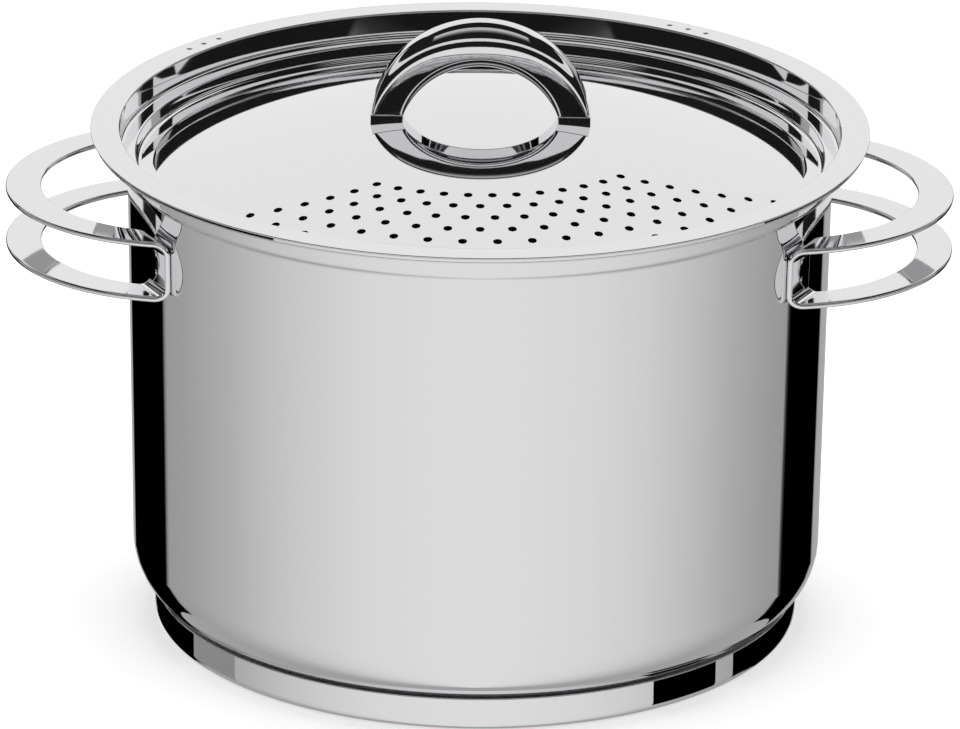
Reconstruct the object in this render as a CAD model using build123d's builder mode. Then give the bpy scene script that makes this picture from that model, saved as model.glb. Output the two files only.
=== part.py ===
from build123d import *
import math
import os

os.makedirs("parts", exist_ok=True)

# Lengths are in millimetres and angles in degrees. +Z is up, -Y is the front and
# the origin is the middle of the face that the pot stands on.

# Driving dimensions of the pot
wall_radius = 121.0          # outside of the wall just under the ledge
wall_taper = 1.9             # how much narrower the wall is at its foot
pot_sheet = 0.8
pot_ledge_z = 169.0          # top of the ledge that the insert's ledge stands over
pot_corner = 20.0            # bend between floor and wall
pot_bottom_z = 8.8           # underside of the floor

# Capsule base: an aluminium disc in a steel cap
base_setback = 9.2           # how far the base stops inside the wall's radius
base_radius = wall_radius - base_setback
cap_sheet = 0.6
cap_height = 12.0
cap_edge = 3.0               # slope at the cap's lower edge
core_shortfall = 0.6         # how far the disc stops under the cap's lip

# Rim of the pot and flange of the insert
collar_step = 2.7            # from the wall's outside to the inside of the insert's collar
collar_radius = wall_radius + collar_step
flange_width = 9.9
flange_radius = collar_radius + flange_width
rim_height = 9.4             # from the pot's ledge to the top of the flange
flange_top_z = pot_ledge_z + rim_height
insert_sheet = 0.6
collar_clearance = 0.4       # between the insert's collar and the pot's
ledge_clearance = 0.3        # between the insert's ledge and the pot's
lip_drop = 1.0               # slope of the pot's lip down to its edge
lip_setback = 1.0            # how far the lip stops inside the flange's edge
lip_flat = 1.6               # level ring at the lip's root that carries the flange

# Turned-down hem at the front of the flange, where water is poured off
pour_azimuth = 7.35          # middle of the pouring side, from the front towards +X
hem_half_angle = 37.9
hem_depth = 0.9
hem_thickness = 0.6

# Pressed position marks on the flange
mark_share = 0.505           # place of the marks across the flange
mark_radius = collar_radius + mark_share * flange_width
mark_size = 1.1
mark_height = 0.4
mark_angle = 138.0           # middle of each group, from the pouring side
mark_pitch_angle = 3.4
marks_in_group = 3

# Basket of the insert
basket_setback = 1.9         # from the pot's wall radius in to the inside of the basket
basket_taper = 4.6           # how much narrower the basket is at its foot
basket_top_radius = wall_radius - basket_setback
basket_bottom_radius = basket_top_radius - basket_taper
basket_lift = 19.2           # water depth between the two floors
basket_bottom_z = pot_bottom_z + basket_lift
basket_corner = 6.0          # slope that joins the basket's floor to its wall
basket_hole = 4.0            # radius of the drain holes
wall_hole_rows = 3
wall_holes_per_row = 16      # even, because each drill goes through both sides
wall_hole_first_share = 0.2  # height of the lowest row on the basket's wall
wall_hole_pitch_share = 0.184
floor_ring_shares = (0.245, 0.49, 0.735)
floor_ring_counts = (6, 12, 18)
floor_hole_sides = 8

# Lid
lid_sheet = 0.6
lid_clearance = 0.5          # between the lid's rim and the insert's collar
lid_wall_clearance = 0.4     # between the lid's sunk wall and the basket
lid_wall_taper = 1.6         # how much narrower the sunk wall is at its foot
lid_rim_radius = collar_radius - lid_clearance
lid_wall_top_radius = basket_top_radius - lid_wall_clearance
lid_wall_foot_radius = lid_wall_top_radius - lid_wall_taper
dome_radius = 365.0
dome_straight = 2.1          # straight ring from the dome to the foot of the wall
dome_edge_radius = lid_wall_foot_radius - dome_straight
dome_rise = 3.6              # from the flange to the top of the dome
dome_top_z = flange_top_z + dome_rise
drain_hole = 1.5             # radius of the holes in the lid
drain_hole_sides = 6
drain_first_share = 0.569    # radius of the first row of holes on the dome
drain_pitch_share = 0.0614
drain_first_count = 12
drain_rows = 7
drain_pitch_angle = 7.15

# Arch handle on the lid
arch_outer_radius = 37.6
arch_thickness = 15.4        # at the top of the arch
arch_bore_sink = 6.2         # how far the bore's centre is under the arch's
arch_inner_radius = arch_outer_radius - arch_thickness + arch_bore_sink
arch_sink = 3.1              # how far the arch's centre is under the top of the dome
arch_centre_z = dome_top_z - arch_sink
arch_crown_depth = 16.0      # front to back at the top of the arch
arch_foot_depth = 12.0       # front to back at its feet
arch_crown_share = 0.45      # rounding of the outer edges, of the foot's depth
arch_bore_share = 0.25       # rounding of the inner edges, of the foot's depth
foot_block_width = 11.2      # square block under each foot
foot_block_height = 3.1      # over the dome at the block's middle

# Side handles: one folded strip each, an upper and a lower loop joined by two tabs
handle_sheet = 2.0
loop_inset = 20.7            # from the wall's radius in to the centre of the loops
loop_centre_x = wall_radius - loop_inset
loop_outer_radius = 62.6
loop_width = 12.2
loop_inner_radius = loop_outer_radius - loop_width
handle_drop = 12.5           # from the pot's ledge down to the upper loop
loop_top_z = pot_ledge_z - handle_drop
loop_spacing = 19.6          # top of the lower loop to top of the upper loop
handle_bend = 4.0            # bend radius at the middle of the sheet
handle_half_angle = 45.0     # of the pot's circle that the strip is folded over
weld_gap = 0.02              # thickness of the weld between tab and wall

overrun = 10.0               # how far cutting tools pass their faces


def wall_outside(z):
    """Outside radius of the pot's tapered wall at height z."""
    return wall_radius - wall_taper * (pot_ledge_z - z) / (pot_ledge_z - pot_bottom_z)


# Pot body: floor, tapered wall, ledge, collar and lip from one pressed sheet
half_pot = pot_sheet / 2
flange_under_z = flange_top_z - insert_sheet
insert_collar_outside = collar_radius + insert_sheet
pot_collar_mid = insert_collar_outside + collar_clearance + half_pot
lip_edge_radius = flange_radius - hem_thickness - lip_setback + half_pot
lip_mid_z = flange_under_z - half_pot
with BuildPart() as pot_body:
    with BuildSketch(Plane.XZ):
        with BuildLine():
            floor_and_wall = FilletPolyline(
                (0, pot_bottom_z + half_pot),
                (wall_outside(pot_bottom_z) - half_pot, pot_bottom_z + half_pot),
                (wall_radius - half_pot, pot_ledge_z - half_pot),
                radius=pot_corner,
            )
            Polyline(
                floor_and_wall @ 1,
                (pot_collar_mid, pot_ledge_z - half_pot),
                (pot_collar_mid, lip_mid_z),
                (pot_collar_mid + lip_flat, lip_mid_z),
                (lip_edge_radius, lip_mid_z - lip_drop),
            )
        trace(line_width=pot_sheet)
    revolve(axis=Axis.Z)
pot_body.part.label = "pot_body"
export_step(pot_body.part, "parts/pot_body.step")

# The pot's outer shape, which the base fits under
with BuildPart() as pot_underside:
    with BuildSketch(Plane.XZ):
        with BuildLine():
            outside = FilletPolyline(
                (0, pot_bottom_z),
                (wall_outside(pot_bottom_z), pot_bottom_z),
                (wall_radius, pot_ledge_z),
                radius=pot_corner + half_pot,
            )
            Polyline(outside @ 1, (0, pot_ledge_z), (0, pot_bottom_z))
        make_face()
    revolve(axis=Axis.Z)

# Aluminium disc bonded to the floor
with BuildPart() as base_core:
    with BuildSketch(Plane.XZ):
        with BuildLine():
            core_edge = base_radius - cap_sheet
            core_top = cap_height - core_shortfall
            Polyline(
                (0, cap_sheet),
                (core_edge - cap_edge, cap_sheet),
                (core_edge, cap_sheet + cap_edge),
                (core_edge, core_top),
                (0, core_top),
                close=True,
            )
        make_face()
    revolve(axis=Axis.Z)
    add(pot_underside.part, mode=Mode.SUBTRACT)
base_core.part.label = "base_core"
export_step(base_core.part, "parts/base_core.step")

# Steel cap pressed over the disc
with BuildPart() as base_cap:
    with BuildSketch(Plane.XZ):
        with BuildLine():
            cap_side = base_radius - cap_sheet / 2
            Polyline(
                (0, cap_sheet / 2),
                (cap_side - cap_edge, cap_sheet / 2),
                (cap_side, cap_sheet / 2 + cap_edge),
                (cap_side, cap_height),
            )
        trace(line_width=cap_sheet)
    revolve(axis=Axis.Z)
base_cap.part.label = "base_cap"
export_step(base_cap.part, "parts/base_cap.step")

# Side handle: a C-shaped strip folded round the pot, cut to the outline of the loops
loop_bottom_z = loop_top_z - loop_spacing
strip_top = loop_top_z - handle_sheet / 2
strip_bottom = loop_bottom_z - handle_sheet / 2
strip_reach = loop_centre_x + loop_outer_radius + overrun
seat = handle_sheet / 2 + weld_gap
with BuildPart() as handle_right:
    with BuildSketch(Plane.XZ.rotated((0, 0, -handle_half_angle))):
        with BuildLine():
            FilletPolyline(
                (strip_reach, strip_top),
                (wall_outside(strip_top) + seat, strip_top),
                (wall_outside(strip_bottom) + seat, strip_bottom),
                (strip_reach, strip_bottom),
                radius=handle_bend,
            )
        trace(line_width=handle_sheet)
    revolve(axis=Axis.Z, revolution_arc=2 * handle_half_angle)
    with BuildSketch(Plane.XY.offset(strip_bottom - overrun)):
        with Locations((loop_centre_x, 0)):
            Circle(loop_outer_radius)
            Circle(loop_inner_radius, mode=Mode.SUBTRACT)
    extrude(amount=loop_spacing + 2 * overrun, mode=Mode.INTERSECT)
handle_right.part.label = "handle_right"
export_step(handle_right.part, "parts/handle_right.step")

with BuildPart() as handle_left:
    add(handle_right.part.rotate(Axis.Z, 180))
handle_left.part.label = "handle_left"
export_step(handle_left.part, "parts/handle_left.step")

# Strainer insert: flange, collar, ledge and perforated basket
half_insert = insert_sheet / 2
insert_ledge_mid = pot_ledge_z + ledge_clearance + half_insert
collar_mid = collar_radius + half_insert
basket_top_mid = basket_top_radius + half_insert
basket_foot_mid = basket_bottom_radius + half_insert
basket_floor_mid = basket_bottom_z + half_insert
with BuildPart() as strainer_insert:
    with BuildSketch(Plane.XZ):
        with BuildLine():
            Polyline(
                (0, basket_floor_mid),
                (basket_foot_mid - basket_corner, basket_floor_mid),
                (basket_foot_mid, basket_floor_mid + basket_corner),
                (basket_top_mid, insert_ledge_mid),
                (collar_mid, insert_ledge_mid),
                (collar_mid, flange_top_z - half_insert),
                (flange_radius, flange_top_z - half_insert),
            )
        trace(line_width=insert_sheet)
    revolve(axis=Axis.Z)
    # Hem turned down at the pouring side
    with BuildSketch(Plane.XY.offset(flange_under_z - hem_depth)):
        with BuildLine():
            start_angle = pour_azimuth - hem_half_angle - 90
            CenterArc((0, 0), flange_radius, start_angle, 2 * hem_half_angle)
            CenterArc((0, 0), flange_radius - hem_thickness, start_angle, 2 * hem_half_angle)
            for angle in (start_angle, start_angle + 2 * hem_half_angle):
                PolarLine(
                    (
                        (flange_radius - hem_thickness) * math.cos(math.radians(angle)),
                        (flange_radius - hem_thickness) * math.sin(math.radians(angle)),
                    ),
                    hem_thickness,
                    angle,
                )
        make_face()
    extrude(amount=hem_depth)
    # Position marks
    for side in (-1, 1):
        for step in range(marks_in_group):
            angle = side * (mark_angle + (step - (marks_in_group - 1) / 2) * mark_pitch_angle)
            with Locations(
                Location((0, 0, flange_top_z), (0, 0, pour_azimuth - 90 + angle))
                * Location((mark_radius, 0, 0))
            ):
                Cylinder(mark_size, mark_height, align=(Align.CENTER, Align.CENTER, Align.MIN))
    # Holes through the wall, every other row turned by half a step
    wall_step = 360 / wall_holes_per_row
    basket_height = pot_ledge_z - basket_bottom_z
    row_shares = [wall_hole_first_share + row * wall_hole_pitch_share for row in range(wall_hole_rows)]
    drills = [
        Location((0, 0, basket_bottom_z + share * basket_height))
        * Location((0, 0, 0), (0, 90, (index + row % 2 / 2) * wall_step))
        for row, share in enumerate(row_shares)
        for index in range(wall_holes_per_row // 2)
    ]
    with Locations(*drills):
        Cylinder(basket_hole, 2 * flange_radius, mode=Mode.SUBTRACT)
    # Holes through the floor
    with BuildSketch(Plane.XY.offset(basket_bottom_z - overrun)):
        RegularPolygon(basket_hole, floor_hole_sides)
        for share, count in zip(floor_ring_shares, floor_ring_counts):
            with PolarLocations(share * basket_bottom_radius, count):
                RegularPolygon(basket_hole, floor_hole_sides)
    extrude(amount=2 * overrun, mode=Mode.SUBTRACT)
strainer_insert.part.label = "strainer_insert"
export_step(strainer_insert.part, "parts/strainer_insert.step")

# Lid: rim, sunk wall and dome with its fan of drain holes
half_lid = lid_sheet / 2
lid_rim_mid = insert_ledge_mid + half_insert + half_lid
dome_centre_z = dome_top_z - dome_radius
dome_half_angle = math.degrees(math.asin(dome_edge_radius / dome_radius))
with BuildPart() as lid:
    with BuildSketch(Plane.XZ):
        with BuildLine():
            outer = CenterArc((0, dome_centre_z), dome_radius, 90 - dome_half_angle, dome_half_angle)
            inner = CenterArc(
                (0, dome_centre_z), dome_radius - lid_sheet, 90 - dome_half_angle, dome_half_angle
            )
            Line(outer @ 0, inner @ 0)
            Line(outer @ 1, inner @ 1)
        make_face()
        with BuildLine():
            edge = (outer @ 0 + inner @ 0) / 2
            foot_radius = lid_wall_foot_radius - half_lid
            foot_drop = (foot_radius - edge.X) * math.tan(math.radians(dome_half_angle))
            Polyline(
                edge,
                (foot_radius, edge.Y - foot_drop),
                (lid_wall_top_radius - half_lid, lid_rim_mid),
                (lid_rim_radius, lid_rim_mid),
            )
        trace(line_width=lid_sheet)
    revolve(axis=Axis.Z)
    with BuildSketch(Plane.XY.offset(lid_rim_mid - 2 * overrun)):
        for row in range(drain_rows):
            count = drain_first_count + row
            first_angle = pour_azimuth - 90 - drain_pitch_angle * (count - 1) / 2
            with PolarLocations(
                (drain_first_share + row * drain_pitch_share) * dome_edge_radius,
                count,
                start_angle=first_angle,
                angular_range=drain_pitch_angle * count,
            ):
                RegularPolygon(drain_hole, drain_hole_sides)
    extrude(amount=dome_top_z, mode=Mode.SUBTRACT)
lid.part.label = "lid"
export_step(lid.part, "parts/lid.step")

# Arch handle welded to the top of the dome
with BuildPart() as lid_handle:
    with BuildSketch(Plane.XZ.offset(-arch_crown_depth / 2 - overrun)):
        with Locations((0, arch_centre_z)):
            Circle(arch_outer_radius)
        with Locations((0, arch_centre_z - arch_bore_sink)):
            Circle(arch_inner_radius, mode=Mode.SUBTRACT)
        with Locations((0, arch_centre_z)):
            Rectangle(
                2 * (arch_outer_radius + overrun),
                2 * (arch_outer_radius + overrun),
                align=(Align.CENTER, Align.MIN),
                mode=Mode.INTERSECT,
            )
    extrude(amount=arch_crown_depth + 2 * overrun)
    with BuildSketch(Plane.YZ.offset(-arch_outer_radius - overrun)):
        with BuildLine():
            half_foot = arch_foot_depth / 2
            lean = (arch_crown_depth / 2 - half_foot) / arch_outer_radius
            half_over = half_foot + lean * (arch_outer_radius + overrun)
            over_z = arch_centre_z + arch_outer_radius + overrun
            Polyline(
                (-half_over, over_z),
                (-half_foot, arch_centre_z),
                (half_foot, arch_centre_z),
                (half_over, over_z),
                close=True,
            )
        make_face()
    extrude(amount=2 * (arch_outer_radius + overrun), mode=Mode.INTERSECT)
    above_feet = arch_centre_z + arch_thickness / 2
    along = lid_handle.edges().filter_by(lambda edge: edge.center().Z > above_feet)
    halfway_z = arch_centre_z + arch_outer_radius - arch_thickness / 2
    crown_edges = along.filter_by(lambda edge: edge.center().Z > halfway_z)
    bore_edges = along.filter_by(lambda edge: edge.center().Z < halfway_z)
    fillet(crown_edges, radius=arch_crown_share * arch_foot_depth)
    fillet(bore_edges, radius=arch_bore_share * arch_foot_depth)
    # Square block under each foot
    foot_radius = arch_outer_radius - foot_block_width / 2
    foot_ground_z = dome_centre_z + math.sqrt(dome_radius**2 - foot_radius**2)
    for side in (-1, 1):
        with Locations((side * foot_radius, 0, foot_ground_z + foot_block_height)):
            Box(
                foot_block_width,
                arch_foot_depth,
                foot_block_width,
                align=(Align.CENTER, Align.CENTER, Align.MAX),
            )
    with Locations((0, 0, dome_centre_z)):
        Sphere(dome_radius, mode=Mode.SUBTRACT)
lid_handle.part.label = "lid_handle"
export_step(lid_handle.part, "parts/lid_handle.step")
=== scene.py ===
"""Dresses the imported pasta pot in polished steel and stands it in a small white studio.

All lengths are in metres and all heights are above the floor. +Z is up and -Y is the front.
"""

import logging
import math
from collections.abc import Iterable, Sequence
from dataclasses import dataclass, fields
from enum import Enum, IntEnum

import bpy
from mathutils import Matrix, Vector


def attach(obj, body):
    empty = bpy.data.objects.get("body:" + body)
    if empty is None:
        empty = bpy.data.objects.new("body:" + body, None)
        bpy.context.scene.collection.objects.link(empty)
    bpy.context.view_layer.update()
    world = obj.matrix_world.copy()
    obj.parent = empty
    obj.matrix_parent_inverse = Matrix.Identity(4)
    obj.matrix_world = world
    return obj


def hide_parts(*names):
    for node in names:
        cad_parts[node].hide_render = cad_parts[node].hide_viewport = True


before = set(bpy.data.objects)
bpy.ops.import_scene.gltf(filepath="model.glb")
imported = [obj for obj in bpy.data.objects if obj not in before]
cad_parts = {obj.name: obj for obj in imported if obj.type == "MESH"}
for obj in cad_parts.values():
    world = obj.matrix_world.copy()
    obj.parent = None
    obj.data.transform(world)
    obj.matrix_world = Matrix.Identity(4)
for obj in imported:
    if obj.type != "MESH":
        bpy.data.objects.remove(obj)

logging.basicConfig(level=logging.INFO, format="%(message)s")
LOG = logging.getLogger("pasta_pot")

Point = tuple[float, float]
Colour = tuple[float, float, float]

ROUND = 256  # facets round a turned piece
ARC_STEP = math.radians(9)  # longest step round a bend
SHARP = math.radians(42)  # an edge that turns more than this stays crisp
SUPPORT = 0.00018  # distance of the extra ring beside each bend, which keeps flats flat
EDGE_STEPS = 6  # steps round a sheet's free edge
TINY = 1e-6  # what is shorter counts as nothing
FULLEST = 0.98  # largest corner of a rounded box, as a share of half its side
CELLS = 8  # cells of a sheet's grid from hole to hole
RIM_SHARE = 0.25  # where a hole's rim lies on the grid, as a share of the way to the next hole
RIM_SLACK = 0.01  # how far off that a point of the rim may be
SMOOTHEST = 0.01  # least roughness of a finish
NOISE_RANGE = (0.3, 0.7)  # what nearly all of a noise lies between
WHITE = (1.0, 1.0, 1.0, 1.0)


class Node(Enum):
    """Names of the CAD nodes."""

    POT_BODY = "pot_body"
    BASE_CORE = "base_core"
    BASE_CAP = "base_cap"
    HANDLE_LEFT = "handle_left"
    HANDLE_RIGHT = "handle_right"
    INSERT = "strainer_insert"
    LID = "lid"
    LID_HANDLE = "lid_handle"


class Body(Enum):
    """Bodies that pieces ride on: the pot stands still, and the others are lifted out."""

    POT = "pot"
    INSERT = "insert"
    LID = "lid"


class Side(Enum):
    """The two side handles."""

    LEFT = -1
    RIGHT = 1


def link(name: str, data: bpy.types.ID) -> bpy.types.Object:
    """Makes an object for a data block and links it to the scene.

    Args:
        name: Name of the object.
        data: Its data block: a mesh, a camera or a light.

    Returns:
        The new object.
    """
    obj = bpy.data.objects.new(name, data)
    bpy.context.scene.collection.objects.link(obj)
    return obj


def make_object(
    name: str, points: Sequence[Vector], faces: Iterable[Sequence[int]], solid: bool = True
) -> bpy.types.Object:
    """Makes a smooth-shaded mesh object.

    Args:
        name: Name of the object and of its mesh.
        points: Corners of the mesh.
        faces: Corner numbers of each face, all turning the same way.
        solid: Whether the mesh is closed. Its faces are then made to point outwards.

    Returns:
        The new object, linked to the scene.
    """
    mesh = bpy.data.meshes.new(name)
    mesh.from_pydata([tuple(p) for p in points], [], [tuple(f) for f in faces])
    mesh.validate()
    if solid and signed_volume(mesh) < 0:
        mesh.flip_normals()
    smooth(mesh)
    return link(name, mesh)


def signed_volume(mesh: bpy.types.Mesh) -> float:
    """Measures the room inside a closed mesh.

    Args:
        mesh: The mesh.

    Returns:
        Six times its volume, below zero where its faces point inwards.
    """
    mesh.calc_loop_triangles()
    total = 0.0
    for triangle in mesh.loop_triangles:
        a, b, c = (mesh.vertices[i].co for i in triangle.vertices)
        total += a.dot(b.cross(c))
    return total


def smooth(mesh: bpy.types.Mesh) -> None:
    """Shades the mesh smooth and keeps its crisp edges."""
    mesh.shade_smooth()
    mesh.set_sharp_from_angle(angle=SHARP)


def bake(obj: bpy.types.Object) -> None:
    """Turns an object's modifiers into plain mesh and removes them.

    Args:
        obj: The object. Its old mesh is removed too.
    """
    depsgraph = bpy.context.evaluated_depsgraph_get()
    mesh = bpy.data.meshes.new_from_object(obj.evaluated_get(depsgraph), depsgraph=depsgraph)
    old, name = obj.data, obj.data.name
    obj.modifiers.clear()
    obj.data = mesh
    bpy.data.meshes.remove(old)
    mesh.name = name
    smooth(mesh)


@dataclass(frozen=True)
class Corner:
    """A corner of a sheet's middle line, seen in section.

    Args:
        radius: Distance from the pot's axis.
        height: Height above the floor.
        bend: Bend radius of the middle line, zero at the line's two ends.
        pieces: Steps that the straight run to this corner is cut into.
    """

    radius: float
    height: float
    bend: float = 0.0
    pieces: int = 1


@dataclass(frozen=True)
class Section:
    """Section of a pressed or turned sheet.

    Args:
        corners: Corners of the middle line, from the axis outwards.
        sheet: Thickness of the sheet.
    """

    corners: tuple[Corner, ...]
    sheet: float

    def middle(self) -> list[tuple[Vector, Vector]]:
        """Follows the middle line round its bends.

        Returns:
            Points of the middle line with the sheet's normal at each.
        """
        places = [Vector((c.radius, c.height)) for c in self.corners]
        line: list[tuple[Vector, Vector]] = []
        start = places[0]
        for i in range(1, len(places)):
            along = (places[i] - places[i - 1]).normalized()
            normal = Vector((-along.y, along.x))
            last = i == len(places) - 1
            turn = 0.0 if last else turn_between(along, places[i + 1] - places[i])
            bend = self.corners[i].bend
            end = places[i] - along * (bend * math.tan(abs(turn) / 2))
            line += [(p, normal) for p in straight(start, end, self.corners[i].pieces)]
            if last:
                break
            inwards = bend if turn > 0 else -bend
            centre = end + normal * inwards
            steps = max(2, math.ceil(abs(turn) / ARC_STEP))
            for k in range(1, steps + 1):
                turned = Matrix.Rotation(turn * k / steps, 2) @ normal
                line.append((centre - turned * inwards, turned))
            start = line.pop()[0]
        return line

    def outline(self) -> list[Point]:
        """Gives the middle line the sheet's thickness and round edges.

        Returns:
            Outline of the sheet, from one face round to the other.
        """
        line = self.middle()
        half = self.sheet / 2
        upper = [p + n * half for p, n in line]
        lower = [p - n * half for p, n in line]
        points = upper + round_edge(line[-1], half, 1) + lower[::-1]
        if line[0][0].x > SUPPORT:
            points += round_edge(line[0], half, -1)
        return [(max(p.x, 0.0), p.y) for p in points]


def turn_between(first: Vector, second: Vector) -> float:
    """Angle from one flat direction to another, to the left."""
    return math.atan2(first.x * second.y - first.y * second.x, first.dot(second))


def straight(start: Vector, end: Vector, pieces: int) -> list[Vector]:
    """Cuts a straight run, with a support point just inside each end.

    Args:
        start: First point of the run.
        end: Last point of the run.
        pieces: Equal pieces that it is cut into.

    Returns:
        The points in order, with both ends.
    """
    length = (end - start).length
    if length < 4 * SUPPORT:
        return [start, end]
    inset = SUPPORT / length
    shares = [0.0, inset, *(k / pieces for k in range(1, pieces)), 1 - inset, 1.0]
    return [start.lerp(end, share) for share in shares]


def round_edge(end: tuple[Vector, Vector], half: float, way: int) -> list[Vector]:
    """Rounds a sheet's free edge with a half circle.

    Args:
        end: Point of the middle line at the edge, and the sheet's normal there.
        half: Half of the sheet's thickness.
        way: 1 at the line's outer end, -1 at its inner one.

    Returns:
        The points of the half circle, its two ends left out.
    """
    point, normal = end
    turns = (Matrix.Rotation(-math.pi * k / EDGE_STEPS, 2) for k in range(1, EDGE_STEPS))
    return [point + (turn @ normal) * half * way for turn in turns]


def around(radius: float, azimuth: float, height: float) -> Vector:
    """Point at an azimuth round the pot's axis, counted from the front towards +X."""
    return Vector((radius * math.sin(azimuth), -radius * math.cos(azimuth), height))


def full_turn(count: int) -> list[float]:
    """Evenly spaced azimuths, all the way round."""
    return [2 * math.pi * k / count for k in range(count)]


def spaced(start: float, end: float, steps: int) -> list[float]:
    """Evenly spaced numbers from start to end, with both of them."""
    return [start + (end - start) * k / steps for k in range(steps + 1)]


def quarter_turn(steps: int) -> list[float]:
    """Evenly spaced angles from 0 to a right angle."""
    return spaced(0.0, math.pi / 2, steps)


def join_rings(rings: Sequence[Sequence[int]], joined: bool) -> list[list[int]]:
    """Makes faces between neighbouring loops of corners.

    Args:
        rings: Corner numbers of each loop, all with the same count.
        joined: Whether the last loop joins the first.

    Returns:
        The corner numbers of each face.
    """
    faces = []
    for near, far in zip(rings, [*rings[1:], rings[0]] if joined else rings[1:]):
        for k in range(len(near)):
            m = (k + 1) % len(near)
            face = list(dict.fromkeys((near[k], far[k], far[m], near[m])))
            if len(face) > 2:
                faces.append(face)
    return faces


def round_grid(
    rings: Sequence[Point], azimuths: Sequence[float], joined: bool = False
) -> tuple[list[Vector], list[list[int]]]:
    """Turns a line of points round the pot's axis into a grid.

    Args:
        rings: Radius and height of each point of the line.
        azimuths: Azimuth of each column, from the front towards +X.
        joined: Whether the last ring joins the first.

    Returns:
        The corners of the grid and the corner numbers of its faces.
    """
    count = len(azimuths)
    points: list[Vector] = []
    numbers: list[list[int]] = []
    for radius, height in rings:
        if radius < TINY:
            numbers.append([len(points)] * count)
            points.append(Vector((0, 0, height)))
            continue
        numbers.append(list(range(len(points), len(points) + count)))
        points += [around(radius, a, height) for a in azimuths]
    return points, join_rings(numbers, joined)


def turn_section(name: str, section: Section) -> bpy.types.Object:
    """Turns a sheet's section round the pot's axis."""
    joined = section.corners[0].radius > SUPPORT
    return make_object(name, *round_grid(section.outline(), full_turn(ROUND), joined))


def cushion(name: str, radius: float, height: float) -> bpy.types.Object:
    """Makes a small round button, crowned like a pressed mark, standing on the origin.

    Args:
        name: Name of the new object.
        radius: Radius of its foot.
        height: Height of its crown.

    Returns:
        The button.
    """
    columns, steps = 16, 5
    rings = [(radius * math.sin(a), height * math.cos(a)) for a in quarter_turn(steps)]
    points, faces = round_grid(rings, full_turn(columns))
    foot = list(range(len(points) - columns, len(points)))
    return make_object(name, points, [*faces, foot[::-1]])


def loft(name: str, rows: Sequence[Sequence[Vector]], closed: bool) -> bpy.types.Object:
    """Joins rows of points, each a closed loop, into a solid.

    Args:
        name: Name of the new object.
        rows: Loops of points, all with the same count.
        closed: Whether the last loop joins the first; otherwise both ends are capped.

    Returns:
        The lofted object.
    """
    count = len(rows[0])
    rings = [list(range(count * i, count * (i + 1))) for i in range(len(rows))]
    ends = [] if closed else [rings[0], rings[-1][::-1]]
    return make_object(name, [p for row in rows for p in row], join_rings(rings, closed) + ends)


def rounded_box(half_width: float, half_height: float, corner: float, steps: int) -> list[Point]:
    """Points of a rounded rectangle with support points beside its corners.

    Args:
        half_width: Half its width, along the first axis.
        half_height: Half its height, along the second axis.
        corner: Radius of its corners, made smaller where the rectangle is too thin for it.
        steps: Steps round each corner.

    Returns:
        The points in order, as (width, height) pairs about the middle.
    """
    radius = min(corner, half_width * FULLEST, half_height * FULLEST)
    inset = min(SUPPORT, (half_width - radius) / 3, (half_height - radius) / 3)
    points: list[Point] = []
    for quarter, (across, up) in enumerate(((1, 1), (-1, 1), (-1, -1), (1, -1))):
        cx, cy = (half_width - radius) * across, (half_height - radius) * up
        for k in range(-1, steps + 2):
            angle = math.pi / 2 * (quarter + min(max(k, 0), steps) / steps)
            beside = inset * (1 if k > steps else -1 if k < 0 else 0)
            x = cx + radius * math.cos(angle) - beside * math.sin(angle)
            y = cy + radius * math.sin(angle) + beside * math.cos(angle)
            points.append((x, y))
    return points


class Out:
    """An output of a node. Arithmetic with it adds Math nodes to its tree."""

    def __init__(self, tree: "Tree", socket: bpy.types.NodeSocket) -> None:
        """Keeps the output and the tree that it belongs to."""
        self.tree = tree
        self.socket = socket

    def __add__(self, other: "Value") -> "Out":
        """This plus another number."""
        return self.tree.maths("ADD", self, other)

    def __sub__(self, other: "Value") -> "Out":
        """This less another number."""
        return self.tree.maths("SUBTRACT", self, other)

    def __rsub__(self, other: float) -> "Out":
        """Another number less this."""
        return self.tree.maths("SUBTRACT", other, self)

    def __mul__(self, other: "Value") -> "Out":
        """This times another number."""
        return self.tree.maths("MULTIPLY", self, other)

    def __truediv__(self, other: "Value") -> "Out":
        """This divided by another number."""
        return self.tree.maths("DIVIDE", self, other)

    def __neg__(self) -> "Out":
        """This with its sign turned round."""
        return self * -1.0

    def __gt__(self, other: "Value") -> "Out":
        """1 where this is greater than another number, else 0."""
        return self.tree.maths("GREATER_THAN", self, other)

    def __lt__(self, other: "Value") -> "Out":
        """1 where this is less than another number, else 0."""
        return self.tree.maths("LESS_THAN", self, other)


Value = Out | float | tuple[float, ...] | bpy.types.ID | None


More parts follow.
